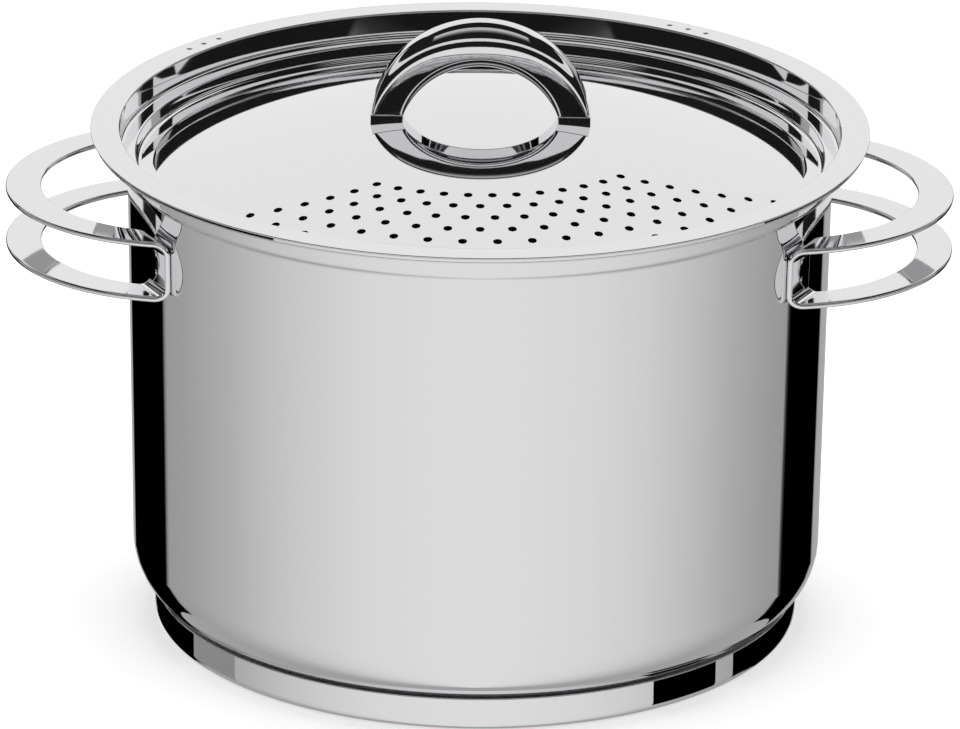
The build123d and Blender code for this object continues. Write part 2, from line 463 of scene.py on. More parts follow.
class Tree:
    """A short way to write a node tree: each call adds a node and links its inputs."""

    def __init__(self, tree: bpy.types.NodeTree) -> None:
        """Starts writing into a node tree that exists."""
        self.tree = tree

    def add(
        self,
        kind: str,
        *inputs: Value,
        out: int | str = 0,
        named: dict[str, Value] | None = None,
        **settings: str,
    ) -> Out:
        """Adds a node.

        Args:
            kind: Type name of the node.
            *inputs: An output to link or a value to set, for each input in order; None skips one.
            out: Which of its outputs to return.
            named: What to feed to further inputs, by their names.
            **settings: Properties of the node to set first.

        Returns:
            The output asked for.
        """
        node = self.tree.nodes.new(kind)
        for name, value in settings.items():
            setattr(node, name, value)
        for socket, value in zip([s for s in node.inputs if s.enabled], inputs):
            self.feed(socket, value)
        self.feed_all(node, named or {})
        return Out(self, node.outputs[out])

    def feed(self, socket: bpy.types.NodeSocket, value: Value) -> None:
        """Links an output to an input, or sets the input's value.

        Args:
            socket: The input.
            value: The output or the value; None leaves the input as it is.
        """
        if isinstance(value, Out):
            self.tree.links.new(value.socket, socket)
        elif value is not None:
            socket.default_value = value

    def feed_all(self, node: bpy.types.Node, values: dict[str, Value]) -> None:
        """Feeds a node's inputs by their names."""
        for name, value in values.items():
            self.feed(node.inputs[name], value)

    def outputs(self, kind: str, *names: str) -> list[Out]:
        """Adds a node without inputs and gives some of its outputs."""
        node = self.tree.nodes.new(kind)
        return [Out(self, node.outputs[name]) for name in names]

    def end(self, kind: str, value: Out) -> None:
        """Adds the tree's last node and feeds its first input."""
        self.feed(self.tree.nodes.new(kind).inputs[0], value)

    def maths(self, operation: str, *inputs: Value) -> Out:
        """Adds a Math node for an operation on one to three numbers."""
        return self.add("ShaderNodeMath", *inputs, operation=operation)

    def vector(self, operation: str, *inputs: Value) -> Out:
        """Adds a Vector Math node."""
        return self.add("ShaderNodeVectorMath", *inputs, operation=operation)

    def scale(self, vector: Out, factor: Out) -> Out:
        """Makes a vector longer or shorter."""
        return self.add("ShaderNodeVectorMath", vector, named={"Scale": factor}, operation="SCALE")

    def split(self, vector: Out) -> list[Out]:
        """The three parts of a vector."""
        node = self.add("ShaderNodeSeparateXYZ", vector).socket.node
        return [Out(self, socket) for socket in node.outputs]

    def combine(self, *parts: Value) -> Out:
        """A vector made of three parts."""
        return self.add("ShaderNodeCombineXYZ", *parts)

    def is_true(self, number: Out) -> Out:
        """Turns a number that is 0 or 1 into a yes or no."""
        return self.add("FunctionNodeCompare", number, 0.5, operation="GREATER_THAN")

    def length(self, x: Out, y: Out) -> Out:
        """Length of the slope over two sides at a right angle."""
        return self.maths("SQRT", x * x + y * y)


class Ring(IntEnum):
    """What the rows of holes are counted along."""

    RADIUS = 0
    HEIGHT = 1


@dataclass(frozen=True)
class HoleRows:
    """Rows of drain holes round an axis.

    Args:
        along: Whether the rows follow each other in radius or in height.
        first: Radius or height of the first row.
        pitch: Distance from row to row.
        rows: Count of rows.
        first_count: Holes in the first row.
        added: Holes that each further row has more.
        angle: Angle from hole to hole.
        radius: Radius of a hole.
        middle: Direction of the middle of the rows, from the front towards +X.
        stagger: How far every other row is turned, in holes.
        full: Whether the rows go all the way round.
    """

    along: Ring
    first: float
    pitch: float
    rows: int
    first_count: int
    added: int
    angle: float
    radius: float
    middle: float = 0.0
    stagger: float = 0.0
    full: bool = False

    def pierce(self, obj: bpy.types.Object) -> None:
        """Adds the modifier that makes these holes in an open sheet."""
        add_nodes(obj, hole_tree(), self)


def add_nodes(
    obj: bpy.types.Object, tree: bpy.types.NodeTree, sizes: "HoleRows | Placing", **others: bpy.types.ID
) -> None:
    """Adds a modifier that runs a node tree.

    Args:
        obj: Object to add it to.
        tree: The tree.
        sizes: Dataclass whose fields are the tree's number inputs.
        **others: The tree's further inputs by name.
    """
    modifier = obj.modifiers.new(tree.name, "NODES")
    modifier.node_group = tree
    values = {f.name: float(getattr(sizes, f.name)) for f in fields(sizes)} | others
    for item in tree.interface.items_tree:
        if item.item_type == "SOCKET" and item.in_out == "INPUT" and item.name in values:
            modifier[item.identifier] = values[item.name]


def new_tree(name: str, sizes: type, others: dict[str, str]) -> tuple[Tree, dict[str, Out]]:
    """Starts a Geometry Nodes tree with a geometry input and output.

    Args:
        name: Name of the tree.
        sizes: Dataclass whose fields are its number inputs.
        others: Socket types of its further inputs by name.

    Returns:
        The tree and its inputs by name.
    """
    group = bpy.data.node_groups.new(name, "GeometryNodeTree")
    group.is_modifier = True
    group.interface.new_socket(name="geometry", in_out="OUTPUT", socket_type="NodeSocketGeometry")
    kinds = {"geometry": "NodeSocketGeometry"} | {f.name: "NodeSocketFloat" for f in fields(sizes)} | others
    for key, kind in kinds.items():
        group.interface.new_socket(name=key, in_out="INPUT", socket_type=kind)
    tree = Tree(group)
    return tree, dict(zip(kinds, tree.outputs("NodeGroupInput", *kinds)))


def finish_tree(t: Tree, geometry: Out, finish: Out | None = None) -> bpy.types.NodeTree:
    """Ends a tree with Realize Instances and Set Material.

    Args:
        t: The tree.
        geometry: What it has made.
        finish: Material to set, where the tree is given one.

    Returns:
        The finished node tree.
    """
    real = t.add("GeometryNodeRealizeInstances", geometry)
    t.end("NodeGroupOutput", t.add("GeometryNodeSetMaterial", real, None, finish))
    return t.tree


def hole_tree() -> bpy.types.NodeTree:
    """Writes the tree that pulls a sheet's grid to the rim of each hole and opens the hole.

    Returns:
        The tree, or the one already written.
    """
    name = "rows_of_holes"
    if name in bpy.data.node_groups:
        return bpy.data.node_groups[name]
    t, given = new_tree(name, HoleRows, {})
    x, y, z = t.split(t.add("GeometryNodeInputPosition"))
    reach = t.length(x, y)
    upright, angle, pitch = given["along"], given["angle"], given["pitch"]
    azimuth = t.maths("WRAP", t.maths("ARCTAN2", x, -y) - given["middle"], math.pi, -math.pi)
    row_at = (z * upright + reach * (1.0 - upright) - given["first"]) / pitch
    row = t.maths("ROUND", row_at)
    count = given["first_count"] + row * given["added"]
    shift = given["stagger"] * t.maths("FLOORED_MODULO", row, 2.0)
    hole_at = azimuth / angle + (count - 1.0) * 0.5 + shift
    hole = t.maths("ROUND", hole_at)
    in_rows = (row > -0.5) * (row < given["rows"] - 0.5)
    in_row = (hole > -0.5) * (hole < count - 0.5)
    wanted = in_rows * t.maths("MAXIMUM", in_row, given["full"])
    across, up = hole_at - hole, row_at - row
    far = t.maths("MAXIMUM", t.maths("ABSOLUTE", across), t.maths("ABSOLUTE", up))
    on_rim = t.maths("ABSOLUTE", far - RIM_SHARE) < RIM_SLACK
    inside = far < RIM_SHARE - RIM_SLACK
    # The way from the hole's middle, measured along the sheet
    wide = across * (angle * reach)
    tall = up * pitch
    stretch = given["radius"] / t.maths("MAXIMUM", t.length(wide, tall), TINY) - 1.0
    round_way = t.vector("NORMALIZE", t.combine(-y, x, 0.0))
    # The rows follow each other outwards or upwards, along the sheet
    outwards = t.scale(t.vector("NORMALIZE", t.combine(x, y, 0.0)), 1.0 - upright)
    counted = t.vector("ADD", outwards, t.combine(0.0, 0.0, upright))
    through = t.vector("PROJECT", counted, t.add("GeometryNodeInputNormal"))
    up_way = t.vector("NORMALIZE", t.vector("SUBTRACT", counted, through))
    move = t.vector("ADD", t.scale(round_way, wide * stretch), t.scale(up_way, tall * stretch))
    gone = t.is_true(wanted * inside)
    opened = t.add("GeometryNodeDeleteGeometry", given["geometry"], gone, domain="FACE", mode="ALL")
    moved = t.add("GeometryNodeSetPosition", opened, t.is_true(wanted * on_rim), None, move)
    return finish_tree(t, moved)


@dataclass(frozen=True)
class Placing:
    """Where repeated small pieces stand: groups on both sides of a middle direction.

    Args:
        radius: Distance from the pot's axis.
        height: Height of the lowest piece.
        middle: Direction between the two sides, from the front towards +X.
        side_angle: Angle from there to the middle of each group.
        count: Pieces in a group.
        pitch_angle: Angle between neighbours in a group.
        rise: How much higher each further piece stands.
        tip: How far a piece is tipped outwards, from lying flat.
    """

    radius: float
    height: float
    middle: float
    side_angle: float
    count: int
    pitch_angle: float = 0.0
    rise: float = 0.0
    tip: float = 0.0

    def repeat(self, name: str, shape: bpy.types.Object, finish: bpy.types.Material) -> bpy.types.Object:
        """Makes one piece out of all the copies of a small shape.

        Args:
            name: Name of the new piece.
            shape: The shape, standing on the origin; it is used up.
            finish: Material of the copies.

        Returns:
            The new piece as plain mesh.
        """
        obj = link(name, bpy.data.meshes.new(name))
        add_nodes(obj, placing_tree(), self, shape=shape, finish=finish)
        bake(obj)
        bpy.data.objects.remove(shape)
        return obj


def placing_tree() -> bpy.types.NodeTree:
    """Writes the tree that stands copies of a shape in groups on both sides of a direction.

    Returns:
        The tree, or the one already written.
    """
    name = "groups_round_the_axis"
    if name in bpy.data.node_groups:
        return bpy.data.node_groups[name]
    t, given = new_tree(name, Placing, {"shape": "NodeSocketObject", "finish": "NodeSocketMaterial"})
    count, radius = given["count"], given["radius"]
    line = t.add("GeometryNodeMeshLine", count * 2.0)
    index = t.add("GeometryNodeInputIndex")
    step = t.maths("FLOORED_MODULO", index, count)
    side = (index + 0.5 > count) * 2.0 - 1.0
    from_group = step - (count - 1.0) * 0.5
    angle = given["middle"] + side * (given["side_angle"] + from_group * given["pitch_angle"])
    place = t.combine(
        t.maths("SINE", angle) * radius,
        -t.maths("COSINE", angle) * radius,
        given["height"] + step * given["rise"],
    )
    points = t.add("GeometryNodeSetPosition", line, None, place)
    shape = t.add("GeometryNodeObjectInfo", given["shape"], out="Geometry")
    turned = t.combine(given["tip"], 0.0, angle)
    copies = t.add("GeometryNodeInstanceOnPoints", points, named={"Instance": shape, "Rotation": turned})
    return finish_tree(t, copies, given["finish"])


def new_material(name: str) -> tuple[bpy.types.Material, Tree, bpy.types.Node]:
    """Makes a material.

    Args:
        name: Its name.

    Returns:
        The material, its tree and its surface shader.
    """
    made = bpy.data.materials.new(name)
    made.use_nodes = True
    return made, Tree(made.node_tree), made.node_tree.nodes["Principled BSDF"]


@dataclass(frozen=True)
class Steel:
    """Bare stainless steel with fine polishing lines round the pot's axis.

    Args:
        name: Name of the material.
        colour: Colour that it reflects.
        roughness: How blurred its reflections are.
        lines: Depth of the polishing lines.
        pitch: Distance from line to line.
        wear: How much the roughness changes from place to place.
        streaks: Fineness of the noise that makes the lines.
        clouds: Fineness of the noise that changes the roughness.
        swirl: How fast the lines change round the axis.
    """

    name: str
    colour: Colour
    roughness: float
    lines: float
    pitch: float
    wear: float
    streaks: float = 0.5
    clouds: float = 22.0
    swirl: float = 2.0

    def material(self) -> bpy.types.Material:
        """Makes the material.

        Returns:
            The material, or the one already made.
        """
        if self.name in bpy.data.materials:
            return bpy.data.materials[self.name]
        made, t, shader = new_material(self.name)
        place = t.add("ShaderNodeTexCoord", out="Object")
        x, y, z = t.split(place)
        # Long thin streaks: fast along the section, slow round the axis
        slow = t.maths("SINE", t.maths("ARCTAN2", y, x)) * self.swirl
        streaks = t.combine(t.length(x, y) / self.pitch, slow, z / self.pitch)
        grain = t.add("ShaderNodeTexNoise", streaks, named={"Scale": self.streaks, "Detail": 3.0})
        cloud = t.add("ShaderNodeTexNoise", place, named={"Scale": self.clouds, "Detail": 4.0})
        low, high = NOISE_RANGE
        least, most = max(self.roughness - self.wear, SMOOTHEST), self.roughness + self.wear
        spread = {"From Min": low, "From Max": high, "To Min": least, "To Max": most}
        relief = {"Strength": 1.0, "Distance": self.lines, "Height": grain}
        surface = {
            "Metallic": 1.0,
            "Base Color": (*self.colour, 1.0),
            "Roughness": t.add("ShaderNodeMapRange", cloud, named=spread),
            "Normal": t.add("ShaderNodeBump", named=relief),
        }
        t.feed_all(shader, surface)
        return made


BRIGHT: Colour = (0.80, 0.80, 0.81)
MIRROR = Steel("steel_mirror", BRIGHT, roughness=0.035, lines=4e-7, pitch=0.0009, wear=0.015)
SATIN = Steel("steel_satin", (0.70, 0.70, 0.70), roughness=0.26, lines=6e-6, pitch=0.0005, wear=0.06)
DIE_POLISHED = Steel("steel_handle", BRIGHT, roughness=0.045, lines=3e-7, pitch=0.0012, wear=0.02)
ALUMINIUM = Steel("aluminium_core", (0.78, 0.78, 0.79), roughness=0.38, lines=1e-5, pitch=0.0006, wear=0.08)


def dress(obj: bpy.types.Object, finish: Steel, body: Body, slot: str, *nodes: Node) -> None:
    """Gives a finished piece its finish, its body and the CAD nodes that it stands for.

    Args:
        obj: The piece, with its place in its mesh.
        finish: Its finish.
        body: The body that it rides on.
        slot: The record's material slot; not used.
        *nodes: CAD nodes that it replaces.
    """
    obj.data.materials.clear()
    obj.data.materials.append(finish.material())
    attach(obj, body.value)
    if nodes:
        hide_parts(*(n.value for n in nodes))
    LOG.info("%s: %d faces on %s", obj.name, len(obj.data.polygons), body.value)


@dataclass
class Pot:
    """Pot body with its capsule base."""

    wall_radius: float = 0.1210
    wall_taper: float = 0.0019
    sheet: float = 0.0008
    ledge_height: float = 0.1680
    corner: float = 0.0200
    bottom: float = 0.0088
    collar_middle: float = 0.1251
    lip_height: float = 0.1774
    lip_flat: float = 0.0016
    lip_radius: float = 0.1324
    lip_drop: float = 0.0010
    fold: float = 0.0011
    ledge_fold: float = 0.0022
    base_radius: float = 0.1118
    cap_sheet: float = 0.0006
    cap_height: float = 0.0120
    cap_bend: float = 0.0034

    def body_section(self) -> Section:
        """Draws the pressed body in section.

        Returns:
            The section, from the middle of the floor to the lip.
        """
        half = self.sheet / 2
        foot = self.wall_radius - self.wall_taper
        return Section(
            (
                Corner(0.0, self.bottom + half),
                Corner(foot - half, self.bottom + half, self.corner, 10),
                Corner(self.wall_radius - half, self.ledge_height - half, self.ledge_fold, 8),
                Corner(self.collar_middle, self.ledge_height - half, self.ledge_fold, 8),
                Corner(self.collar_middle, self.lip_height, self.fold),
                Corner(self.collar_middle + self.lip_flat, self.lip_height, self.fold),
                Corner(self.lip_radius, self.lip_height - self.lip_drop),
            ),
            self.sheet,
        )

    def cap_section(self) -> Section:
        """Draws the steel cap round the aluminium disc in section.

        Returns:
            The section, from the middle of the cap to its upper edge.
        """
        side = self.base_radius - self.cap_sheet / 2
        return Section(
            (
                Corner(0.0, self.cap_sheet / 2),
                Corner(side, self.cap_sheet / 2, self.cap_bend, 8),
                Corner(side, self.cap_height - self.cap_sheet / 2),
            ),
            self.cap_sheet,
        )

    def build(self) -> None:
        """Makes the body and the cap, and finishes the disc between them."""
        body = turn_section("pot_shell", self.body_section())
        dress(body, MIRROR, Body.POT, "polished_steel", Node.POT_BODY)
        cap = turn_section("base_shell", self.cap_section())
        dress(cap, MIRROR, Body.POT, "base_steel", Node.BASE_CAP)
        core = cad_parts[Node.BASE_CORE.value]
        core.data.materials.clear()
        core.data.materials.append(ALUMINIUM.material())


def angle_of(cosine: float) -> float:
    """Angle of a cosine, which may lie a little past 1."""
    return math.acos(max(-1.0, min(1.0, cosine)))


@dataclass
class SideHandle:
    """Side handle: one strip folded into an upper and a lower loop, spot-welded at two tabs."""

    side: Side
    pot: Pot
    strip: float = 0.0020
    edge: float = 0.00095
    edge_steps: int = 5
    loop_centre: float = 0.1003
    outer_radius: float = 0.0626
    inner_radius: float = 0.0504
    top: float = 0.1565
    spacing: float = 0.0196
    bend: float = 0.0040
    weld_gap: float = 0.00002
    overrun: float = 0.02
    loop_steps: int = 120

    def wall_outside(self, height: float) -> float:
        """Finds how far out the pot's tapered wall stands.

        Args:
            height: Height above the floor.

        Returns:
            The wall's outside radius there.
        """
        pot = self.pot
        share = (pot.ledge_height - height) / (pot.ledge_height - pot.bottom)
        return pot.wall_radius - pot.wall_taper * share

    def channel(self) -> list[tuple[Vector, Vector]]:
        """Folds the strip against the pot's wall, seen in section on one side.

        Returns:
            Points of the strip's middle line with its normal at each, from the upper loop down round
            to the lower one.
        """
        high = self.top - self.strip / 2
        low = high - self.spacing
        seat = self.strip / 2 + self.weld_gap
        reach = self.pot.wall_radius + self.overrun
        fold = Section(
            (
                Corner(reach, high),
                Corner(self.wall_outside(high) + seat, high, self.bend),
                Corner(self.wall_outside(low) + seat, low, self.bend, 4),
                Corner(reach, low),
            ),
            self.strip,
        )
        # The three points at each end lie on the loops
        return fold.middle()[3:-3]

    def station(self, middle: Vector, normal: Vector, reach: float, lift: float, way: int) -> Vector:
        """A point of the tab.

        Args:
            middle: Radius and height on the strip's middle line.
            normal: The strip's normal there.
            reach: Distance from the loop's centre, seen from above.
            lift: Distance from the strip's middle along the normal.
            way: 1 for the tab at the back, -1 for the one at the front.

        Returns:
            The point in the pot's frame, for the right handle.
        """
        centre = self.loop_centre
        angle = angle_of((middle.x**2 + centre**2 - reach**2) / (2 * middle.x * centre)) * way
        radius = middle.x + normal.x * lift
        return Vector((radius * math.cos(angle), radius * math.sin(angle), middle.y + normal.y * lift))

    def loop_row(self, share: float, height: float, lifts: Sequence[Point], up: float) -> list[Vector]:
        """One row of points across a loop.

        Args:
            share: Place along the loop, from -1 at the front tab to 1 at the back one.
            height: Height of the strip's middle.
            lifts: Distance from the loop's centre and from the strip's middle for each point.
            up: 1 if the strip's normal points up there, -1 if down.

        Returns:
            The points of the row.
        """
        near, centre = self.channel()[0][0].x, self.loop_centre
        row = []
        for reach, lift in lifts:
            angle = angle_of((near**2 - centre**2 - reach**2) / (2 * centre * reach)) * share
            place = (centre + reach * math.cos(angle), reach * math.sin(angle), height + lift * up)
            row.append(Vector(place))
        return row

    def build(self) -> None:
        """Makes the handle as one closed strip."""
        middle_reach = (self.outer_radius + self.inner_radius) / 2
        half_width = (self.outer_radius - self.inner_radius) / 2
        box = rounded_box(half_width, self.strip / 2, self.edge, self.edge_steps)
        lifts = [(middle_reach + w, h) for w, h in box]
        path = self.channel()
        up = 1.0 if path[0][1].y > 0 else -1.0
        high, low = path[0][0].y, path[-1][0].y
        shares = spaced(1.0, -1.0, self.loop_steps)
        rows = [self.loop_row(share, high, lifts, up) for share in shares]
        rows += [[self.station(*place, *lift, -1) for lift in lifts] for place in path[1:-1]]
        rows += [self.loop_row(-share, low, lifts, -up) for share in shares]
        rows += [[self.station(*place, *lift, 1) for lift in lifts] for place in path[-2:0:-1]]
        if self.side is Side.LEFT:
            rows = [[Vector((-p.x, -p.y, p.z)) for p in row] for row in rows]
        strip = loft(f"side_handle_{self.side.name.lower()}", rows, closed=True)
        node = Node.HANDLE_LEFT if self.side is Side.LEFT else Node.HANDLE_RIGHT
        dress(strip, DIE_POLISHED, Body.POT, "handle_steel", node)


@dataclass
class Welds:
    """Spot welds on the tabs of one side handle, seen as small round marks."""

    side: Side
    radius: float = 0.0010
    height: float = 0.00016
    reach: float = 0.12276
    side_angle: float = math.radians(27.2)
    lowest: float = 0.1438
    rise: float = 0.0064
    count: int = 2

    def build(self) -> None:
        """Makes the marks."""
        middle = self.side.value * math.pi / 2
        place = self.reach, self.lowest, middle, self.side_angle, self.count
        placing = Placing(*place, rise=self.rise, tip=math.pi / 2)
        mark = cushion("weld", self.radius, self.height)
        marks = placing.repeat(f"side_welds_{self.side.name.lower()}", mark, DIE_POLISHED.material())
        dress(marks, DIE_POLISHED, Body.POT, "handle_steel")


@dataclass
class Insert:
    """Strainer insert: flange, collar, ledge, perforated basket, hem and position marks."""

    sheet: float = 0.0006
    flange_radius: float = 0.1336
    flange_top: float = 0.1784
    collar_radius: float = 0.1237
    ledge_middle: float = 0.1686
    flange_fold: float = 0.00035
    ledge_fold: float = 0.0020
    basket_top: float = 0.1194
    basket_foot: float = 0.1148
    basket_floor: float = 0.0283
    basket_corner: float = 0.0080
    basket_middle: float = 0.0060
    # The wall's last rings: how far inside its top and how far under the ledge they lie
    neck: tuple[Point, ...] = ((0.0004, 0.0020), (0.0, 0.0006))
    corner_steps: int = 6
    row_cells: int = 4
    hole: float = 0.0022
    holes_round: int = 40
    wall_first: float = 0.0470
    wall_pitch: float = 0.0120
    wall_rows: int = 9
    floor_first: float = 0.0200
    floor_pitch: float = 0.0110
    # Zones of the floor: rows before it, rows in it, and what the count of holes is divided by
    floor_zones: tuple[tuple[int, int, int], ...] = ((0, 2, 4), (2, 3, 2), (5, 3, 1))
    pour: float = math.radians(7.35)
    hem_half_angle: float = math.radians(37.9)
    hem_depth: float = 0.0009
    hem_rounding: float = 0.45
    hem_edge_steps: int = 4
    hem_steps: int = 96
    mark_radius: float = 0.1287
    mark_size: float = 0.0011
    mark_height: float = 0.0004
    mark_angle: float = math.radians(138.0)
    mark_pitch: float = math.radians(3.4)
    marks: int = 3

    def rim_section(self) -> Section:
        """Draws the ledge, the collar and the flange in section.

        Returns:
            The section, from the ledge's inner edge to the flange's outer one.
        """
        half = self.sheet / 2
        return Section(
            (
                Corner(self.basket_top, self.ledge_middle),
                Corner(self.collar_radius + half, self.ledge_middle, self.ledge_fold),
                Corner(self.collar_radius + half, self.flange_top - half, self.flange_fold),
                Corner(self.flange_radius - half, self.flange_top - half),
            ),
            self.sheet,
        )

    def build(self) -> None:
        """Makes the rim, the hem, the marks and the basket."""
        rim = turn_section("insert_rim", self.rim_section())
        dress(rim, MIRROR, Body.INSERT, "insert_steel", Node.INSERT)
        self.build_hem()
        self.build_marks()
        self.build_basket()

    def build_hem(self) -> None:
        """Makes the turned-down hem at the pouring side."""
        half = self.sheet / 2
        half_depth = (self.hem_depth + half) / 2
        reach, level = self.flange_radius - half, self.flange_top - half - half_depth
        box = rounded_box(half, half_depth, self.sheet * self.hem_rounding, self.hem_edge_steps)
        azimuths = spaced(self.pour - self.hem_half_angle, self.pour + self.hem_half_angle, self.hem_steps)
        rows = [[around(reach + w, azimuth, level + h) for w, h in box] for azimuth in azimuths]
        hem = loft("insert_hem", rows, closed=False)
        dress(hem, MIRROR, Body.INSERT, "insert_steel")

    def build_marks(self) -> None:
        """Makes the pressed position marks on the flange."""
        button = cushion("mark", self.mark_size, self.mark_height)
        placing = Placing(
            self.mark_radius, self.flange_top, self.pour, self.mark_angle, self.marks, self.mark_pitch
        )
        marks = placing.repeat("insert_marks", button, MIRROR.material())
        dress(marks, MIRROR, Body.INSERT, "insert_steel")

    def build_basket(self) -> None:
        """Makes the perforated basket below the ledge."""
        count = self.holes_round
        basket = open_sheet("insert_basket", self.basket_rings(), full_turn(count * CELLS))
        step = 2 * math.pi / count
        zones = [(Ring.HEIGHT, self.wall_first, self.wall_pitch, self.wall_rows, 1)]
        for start, rows, share in self.floor_zones:
            first = self.floor_first + self.floor_pitch * start
            zones.append((Ring.RADIUS, first, self.floor_pitch, rows, share))
        for *place, share in zones:
            holes = HoleRows(*place, count // share, 0, step * share, self.hole, stagger=0.5, full=True)
            holes.pierce(basket)
        finish_sheet(basket, self.sheet)
        dress(basket, SATIN, Body.INSERT, "insert_steel")

    def basket_rings(self) -> list[Point]:
        """Lays out the basket's grid, with rows of points that match its rows of holes.

        Returns:
            Radius and height of each ring, from the middle of the floor to the ledge.
        """
        floor, foot, top = self.basket_floor, self.basket_foot, self.ledge_middle
        start, last_rows, _ = self.floor_zones[-1]
        rows = start + last_rows
        first = self.floor_first - self.floor_pitch / 2
        last = first + self.floor_pitch * rows
        radii = [0.0, self.basket_middle, *spaced(first, last, rows * self.row_cells)]
        corner = self.basket_corner
        bend = [
            (foot - corner * (1 - math.sin(angle)), floor + corner * (1 - math.cos(angle)))
            for angle in quarter_turn(self.corner_steps)
        ]
        slope = (self.basket_top - foot) / (top - floor)
        low = self.wall_first - self.wall_pitch / 2
        heights = spaced(low, low + self.wall_pitch * self.wall_rows, self.wall_rows * self.row_cells)
        wall = [(foot + slope * (height - floor), height) for height in heights]
        neck = [(self.basket_top - inside, top - under) for inside, under in self.neck]
        return [(radius, floor) for radius in radii] + bend + wall + neck


def open_sheet(name: str, rings: Sequence[Point], azimuths: Sequence[float]) -> bpy.types.Object:
    """Makes a sheet without thickness round the axis, its faces pointing up or outwards."""
    return make_object(name, *round_grid(rings, azimuths), solid=False)


def finish_sheet(obj: bpy.types.Object, sheet: float) -> None:
    """Gives a pierced sheet its thickness, half to each side, and makes it plain mesh.

    Args:
        obj: The sheet.
        sheet: Its thickness.
    """
    solid = obj.modifiers.new("sheet", "SOLIDIFY")
    solid.thickness = sheet
    solid.offset = 0.0
    solid.use_even_offset = True
    solid.use_quality_normals = True
    bake(obj)


@dataclass
class Lid:
    """Sunk lid with its fan of drain holes and its arch handle."""

    sheet: float = 0.0006
    rim_radius: float = 0.1223
    rim_height: float = 0.1692
    wall_top: float = 0.1187
    wall_foot: float = 0.1183
    dome_radius: float = 0.3650
    dome_edge: float = 0.1123
    dome_top: float = 0.1820
    dome_rings: tuple[float, ...] = (0.0, 0.004, 0.012, 0.022, 0.032, 0.042, 0.052, 0.058)
    rim_fold: float = 0.0004
    gutter_fold: float = 0.0018
    hole: float = 0.0015
    first_row: float = 0.0654
    row_pitch: float = 0.00706
    first_count: int = 12
    rows: int = 7
    hole_angle: float = math.radians(7.15)
    pour: float = math.radians(7.35)
    plain_columns: int = 120

    def dome_height(self, radius: float, below: float = 0.0) -> float:
        """Height of the dome at a radius, on its outer face or a little below it."""
        return self.dome_top - self.dome_radius + math.sqrt((self.dome_radius - below) ** 2 - radius**2)

    def rings(self) -> list[Point]:
        """Lays out the rings of the lid's grid, on the middle of its sheet.

        Returns:
            Radius and height of each ring, from the middle of the dome to the rim.
        """
        half = self.sheet / 2
        first = self.first_row - self.row_pitch / 2
        radii = [*self.dome_rings, *spaced(first, first + self.row_pitch * self.rows, self.rows * CELLS)]
        points = [(r, self.dome_height(r, half)) for r in radii]
        edge = self.dome_edge * (self.dome_radius - half) / self.dome_radius
        gutter = self.dome_height(edge, half)
        section = Section(
            (
                Corner(edge, gutter),
                Corner(self.wall_foot - half, gutter, self.gutter_fold),
                Corner(self.wall_top - half, self.rim_height, self.rim_fold),
                Corner(self.rim_radius, self.rim_height),
            ),
            self.sheet,
        )
        return points + [(p.x, p.y) for p, _ in section.middle()]

    def columns(self) -> list[float]:
        """Lays out the columns of the lid's grid: eight to a hole in the fan, wider behind it.

        Returns:
            The azimuth of each column.
        """
        holes = self.first_count + self.rows
        start = self.pour - self.hole_angle * holes / 2
        end = self.pour + self.hole_angle * holes / 2
        behind = spaced(end, start + 2 * math.pi, self.plain_columns)
        return spaced(start, end, holes * CELLS) + behind[1:-1]

    def build(self) -> None:
        """Makes the perforated lid and its handle."""
        lid = open_sheet("lid_shell", self.rings(), self.columns())
        place = Ring.RADIUS, self.first_row, self.row_pitch, self.rows
        HoleRows(*place, self.first_count, 1, self.hole_angle, self.hole, middle=self.pour).pierce(lid)
        finish_sheet(lid, self.sheet)
        dress(lid, MIRROR, Body.LID, "lid_steel", Node.LID)
        Arch(self).build()


@dataclass(frozen=True)
class Sweep:
    """One arc of the arch's front, from its top down to its bore.

    Args:
        until: Angle of the surface's normal where the arc ends, from straight up.
        radius: Radius of the arc.
        steps: Steps that it is cut into.
    """

    until: float
    radius: float
    steps: int


